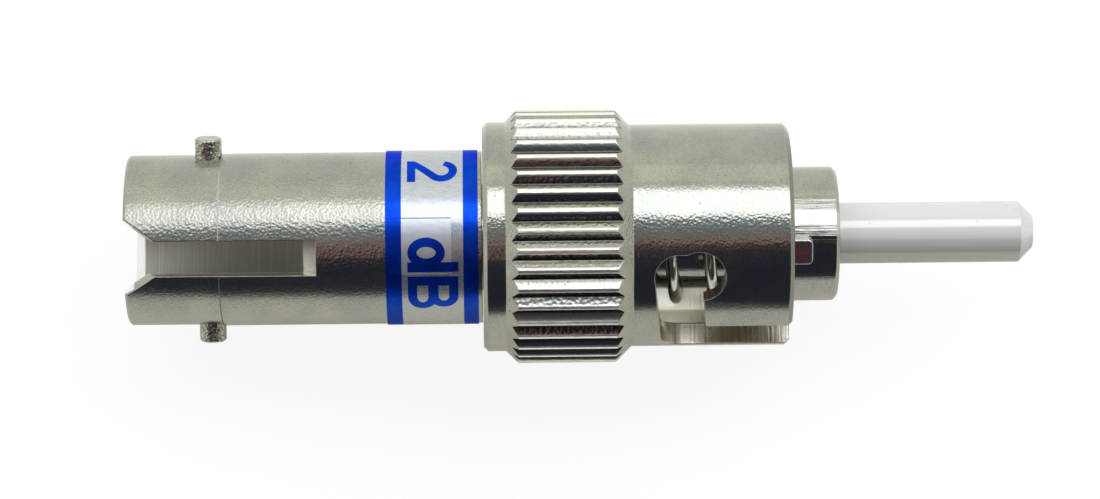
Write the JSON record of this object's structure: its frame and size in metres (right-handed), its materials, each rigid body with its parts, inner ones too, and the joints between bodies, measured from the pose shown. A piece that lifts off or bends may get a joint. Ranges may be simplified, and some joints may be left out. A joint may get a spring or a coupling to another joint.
{
  "type": "st fibre attenuator",
  "caption": "In-line fibre attenuator: a turned female bayonet socket with a key slot at one end, a sprung knurled bayonet nut and ceramic ferrule at the other",
  "frame": {"origin": "centre of the socket's mouth, where a mating connector's axis enters", "axes": "+X runs along the axis to the ferrule's tip, +Z points out through the key slot and the key, the bayonet lugs stand along Y"},
  "size_m": [0.037, 0.0104, 0.0104],
  "materials": {
    "nickel_plate": "polished",
    "spring_steel": "polished",
    "zirconia": "gloss",
    "label_foil": "satin",
    "fibre_glass": "polished"
  },
  "bodies": {
    "socket_and_plug": {"socket_barrel": "nickel_plate", "upper_lug_pin": "nickel_plate", "lower_lug_pin": "nickel_plate", "value_label": "label_foil", "sleeve_cap": "nickel_plate", "split_sleeve": "zirconia", "ferrule": "zirconia", "ferrule_collar": "nickel_plate", "doped_fibre": "fibre_glass", "plug_body": "nickel_plate", "nut_spring": "spring_steel"},
    "washer": {"thrust_washer": "spring_steel"},
    "nut": {"coupling_nut": "nickel_plate"}
  },
  "joints": [
    {"name": "nut_slide", "type": "slide", "parent": "socket_and_plug", "child": "washer", "axis": [1, 0, 0], "range_m": [0, 0.0026], "stiffness_N_per_m": 930, "springref_m": -0.005, "deforming": ["nut_spring"]},
    {"name": "nut_turn", "type": "hinge", "parent": "washer", "child": "nut", "pos_m": [0.02, 0, 0], "axis": [1, 0, 0], "continuous": true}
  ]
}
